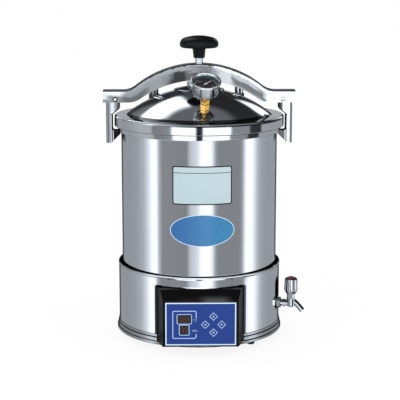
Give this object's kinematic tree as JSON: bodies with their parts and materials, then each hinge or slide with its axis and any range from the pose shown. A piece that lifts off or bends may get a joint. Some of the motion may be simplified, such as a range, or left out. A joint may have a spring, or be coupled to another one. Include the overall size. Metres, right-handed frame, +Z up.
{
  "type": "portable autoclave",
  "caption": "Portable upright autoclave: round heated base with control panel, steel vessel, domed lid held by a yoke, screw knob and side hooks, with gauge, valves and drain tap.",
  "frame": {"origin": "on the vessel's axis at floor level, under the middle of the base", "axes": "+Z up along the vessel's axis, the control panel faces -Y, +X to the right of someone facing the panel"},
  "size_m": [0.3909, 0.3434, 0.586],
  "materials": {
    "skirt_steel": "satin",
    "mirror_steel": "polished",
    "inner_steel": "satin",
    "ring_steel": "satin",
    "clamp_cast": "cast, satin",
    "screw_steel": "machined",
    "black_plastic": "fine grain",
    "knob_plastic": "semi-gloss",
    "panel_film": "printed film",
    "key_film": "printed film",
    "display_tint": "clear tinted",
    "board_green": "lacquered",
    "foot_rubber": "matte",
    "seal_silicone": "matte",
    "tap_chrome": "polished",
    "cap_red": "gloss",
    "union_brass": "machined",
    "gauge_chrome": "polished",
    "gauge_face": "matte",
    "gauge_needle": "matte",
    "gauge_glass": "clear",
    "heater_sheath": "oxidised"
  },
  "bodies": {
    "base": {"rubber_feet": "foot_rubber", "base_plate": "inner_steel", "base_ring": "ring_steel", "vessel_cradle": "inner_steel", "skirt": "skirt_steel", "window_trim": "ring_steel", "barrel": "mirror_steel", "barrel_flange": "ring_steel", "heater_element": "heater_sheath", "heater_nuts": "union_brass", "heater_terminals": "screw_steel", "overheat_thermostat": "black_plastic", "temperature_probe": "inner_steel", "sieve_plate": "inner_steel", "sterilizing_bucket": "inner_steel", "bucket_bail": "inner_steel", "drain_pipe": "inner_steel", "tap_union": "tap_chrome", "tap_body": "tap_chrome", "tap_bonnet": "tap_chrome", "control_housing": "black_plastic", "control_film": "panel_film", "display_windows": "display_tint", "display_modules": "black_plastic", "control_board": "board_green", "power_inlet": "black_plastic", "inlet_blades": "union_brass"},
    "lid": {"lid_ring": "ring_steel", "lid_gasket": "seal_silicone", "lid_dome": "mirror_steel", "centre_pad": "ring_steel", "thrust_cup": "mirror_steel", "screw_retainer": "mirror_steel", "gauge_union": "union_brass", "gauge_case": "gauge_chrome", "gauge_bezel": "gauge_chrome", "gauge_glass": "gauge_glass", "gauge_dial": "gauge_face", "bourdon_tube": "union_brass", "safety_valve_body": "tap_chrome", "exhaust_valve_body": "tap_chrome", "exhaust_pin": "screw_steel"},
    "clamp": {"clamp_screw": "screw_steel", "clamp_knob": "knob_plastic"},
    "yoke": {"yoke_beam": "clamp_cast", "yoke_nut": "screw_steel", "hook_pins": "screw_steel"},
    "left_hook": {"hook_left": "clamp_cast"},
    "right_hook": {"hook_right": "clamp_cast"},
    "pointer": {"gauge_pointer": "gauge_needle"},
    "safety_stem": {"safety_valve_stem": "tap_chrome"},
    "exhaust_handle": {"exhaust_lever": "tap_chrome"},
    "tap_turning": {"tap_handle": "tap_chrome", "tap_cap": "cap_red", "tap_spindle": "union_brass"},
    "jumper": {"tap_jumper": "union_brass"},
    "up_key": {"key_up": "key_film"},
    "left_key": {"key_left": "key_film"},
    "right_key": {"key_right": "key_film"},
    "down_key": {"key_down": "key_film"}
  },
  "joints": [
    {"name": "lid_slide", "type": "slide", "parent": "base", "child": "lid", "axis": [0, 1, 0], "range_m": [0, 0.31]},
    {"name": "knob_turn", "type": "hinge", "parent": "lid", "child": "clamp", "pos_m": [0, 0, 0.56], "axis": [0, 0, 1], "range_deg": [0, 360]},
    {"name": "yoke_lift", "type": "slide", "parent": "lid", "child": "yoke", "axis": [0, 0, 1], "range_m": [-0.003, 0]},
    {"name": "left_hook_swing", "type": "hinge", "parent": "yoke", "child": "left_hook", "pos_m": [-0.162, 0, 0.4646], "axis": [0, 1, 0], "range_deg": [0, 25]},
    {"name": "right_hook_swing", "type": "hinge", "parent": "yoke", "child": "right_hook", "pos_m": [0.162, 0, 0.4646], "axis": [0, -1, 0], "range_deg": [0, 25]},
    {"name": "pointer_turn", "type": "hinge", "parent": "lid", "child": "pointer", "pos_m": [0.01049, -0.11994, 0.50468], "axis": [-0.0389, 0.4441, -0.8952], "range_deg": [0, 270]},
    {"name": "safety_lift", "type": "slide", "parent": "lid", "child": "safety_stem", "axis": [0, 0, 1], "range_m": [0, 0.003], "stiffness_N_per_m": 2000},
    {"name": "exhaust_flip", "type": "hinge", "parent": "lid", "child": "exhaust_handle", "pos_m": [0.07983, 0.05204, 0.49951], "axis": [1, 0, 0], "range_deg": [0, 90]},
    {"name": "tap_turn", "type": "hinge", "parent": "base", "child": "tap_turning", "pos_m": [0.17883, -0.05467, 0.1], "axis": [0, 0, 1], "range_deg": [0, 720]},
    {"name": "jumper_lift", "type": "slide", "parent": "base", "child": "jumper", "axis": [0, 0, 1], "range_m": [0, 0.003]},
    {"name": "up_press", "type": "slide", "parent": "base", "child": "up_key", "axis": [0, 1, 0], "range_m": [0, 0.0005], "stiffness_N_per_m": 2000},
    {"name": "left_press", "type": "slide", "parent": "base", "child": "left_key", "axis": [0, 1, 0], "range_m": [0, 0.0005], "stiffness_N_per_m": 2000},
    {"name": "right_press", "type": "slide", "parent": "base", "child": "right_key", "axis": [0, 1, 0], "range_m": [0, 0.0005], "stiffness_N_per_m": 2000},
    {"name": "down_press", "type": "slide", "parent": "base", "child": "down_key", "axis": [0, 1, 0], "range_m": [0, 0.0005], "stiffness_N_per_m": 2000}
  ],
  "couplings": [
    {"joint": "knob_turn", "follows": "yoke_lift", "rad_per_m": -2094.4},
    {"joint": "tap_turn", "follows": "jumper_lift", "rad_per_m": 4188.8}
  ]
}
